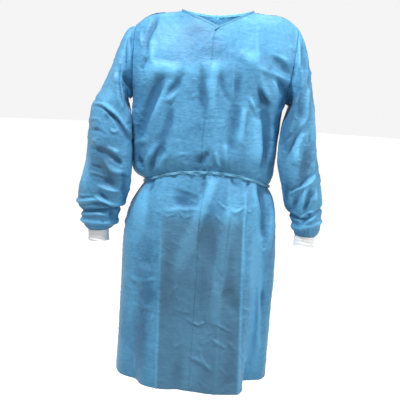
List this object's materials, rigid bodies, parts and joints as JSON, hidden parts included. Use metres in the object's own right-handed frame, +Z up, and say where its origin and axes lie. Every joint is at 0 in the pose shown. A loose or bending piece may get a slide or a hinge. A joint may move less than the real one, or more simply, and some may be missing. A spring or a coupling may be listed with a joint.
{
  "type": "isolation gown",
  "caption": "Worn isolation gown as hollow cloth: overlapping panels down one side, long full sleeves, ribbed knit cuffs, bound neck and a narrow waist tie knotted behind.",
  "frame": {"origin": "middle of the neck opening, level with the top of the neck's back edge, where a wearer's neck stands", "axes": "+Z up along the wearer's body, -Y out of the side with the overlapping panels, +X to the right of someone facing that side"},
  "size_m": [0.7798, 0.3129, 1.1823],
  "materials": {
    "non_woven": "thin light blue spunbond non-woven, soft sheen",
    "binding": "folded strip of the same non-woven, a little darker where it is double",
    "tie": "folded strip of paler blue non-woven",
    "knit": "white rib knit, matt"
  },
  "bodies": {
    "root": {"front_left": "non_woven", "front_right": "non_woven", "back": "non_woven", "sleeve_left": "non_woven", "sleeve_right": "non_woven", "neck_binding": "binding", "waist_tie": "tie", "tie_knot": "tie", "cuff_left": "knit", "cuff_right": "knit"}
  },
  "joints": []
}
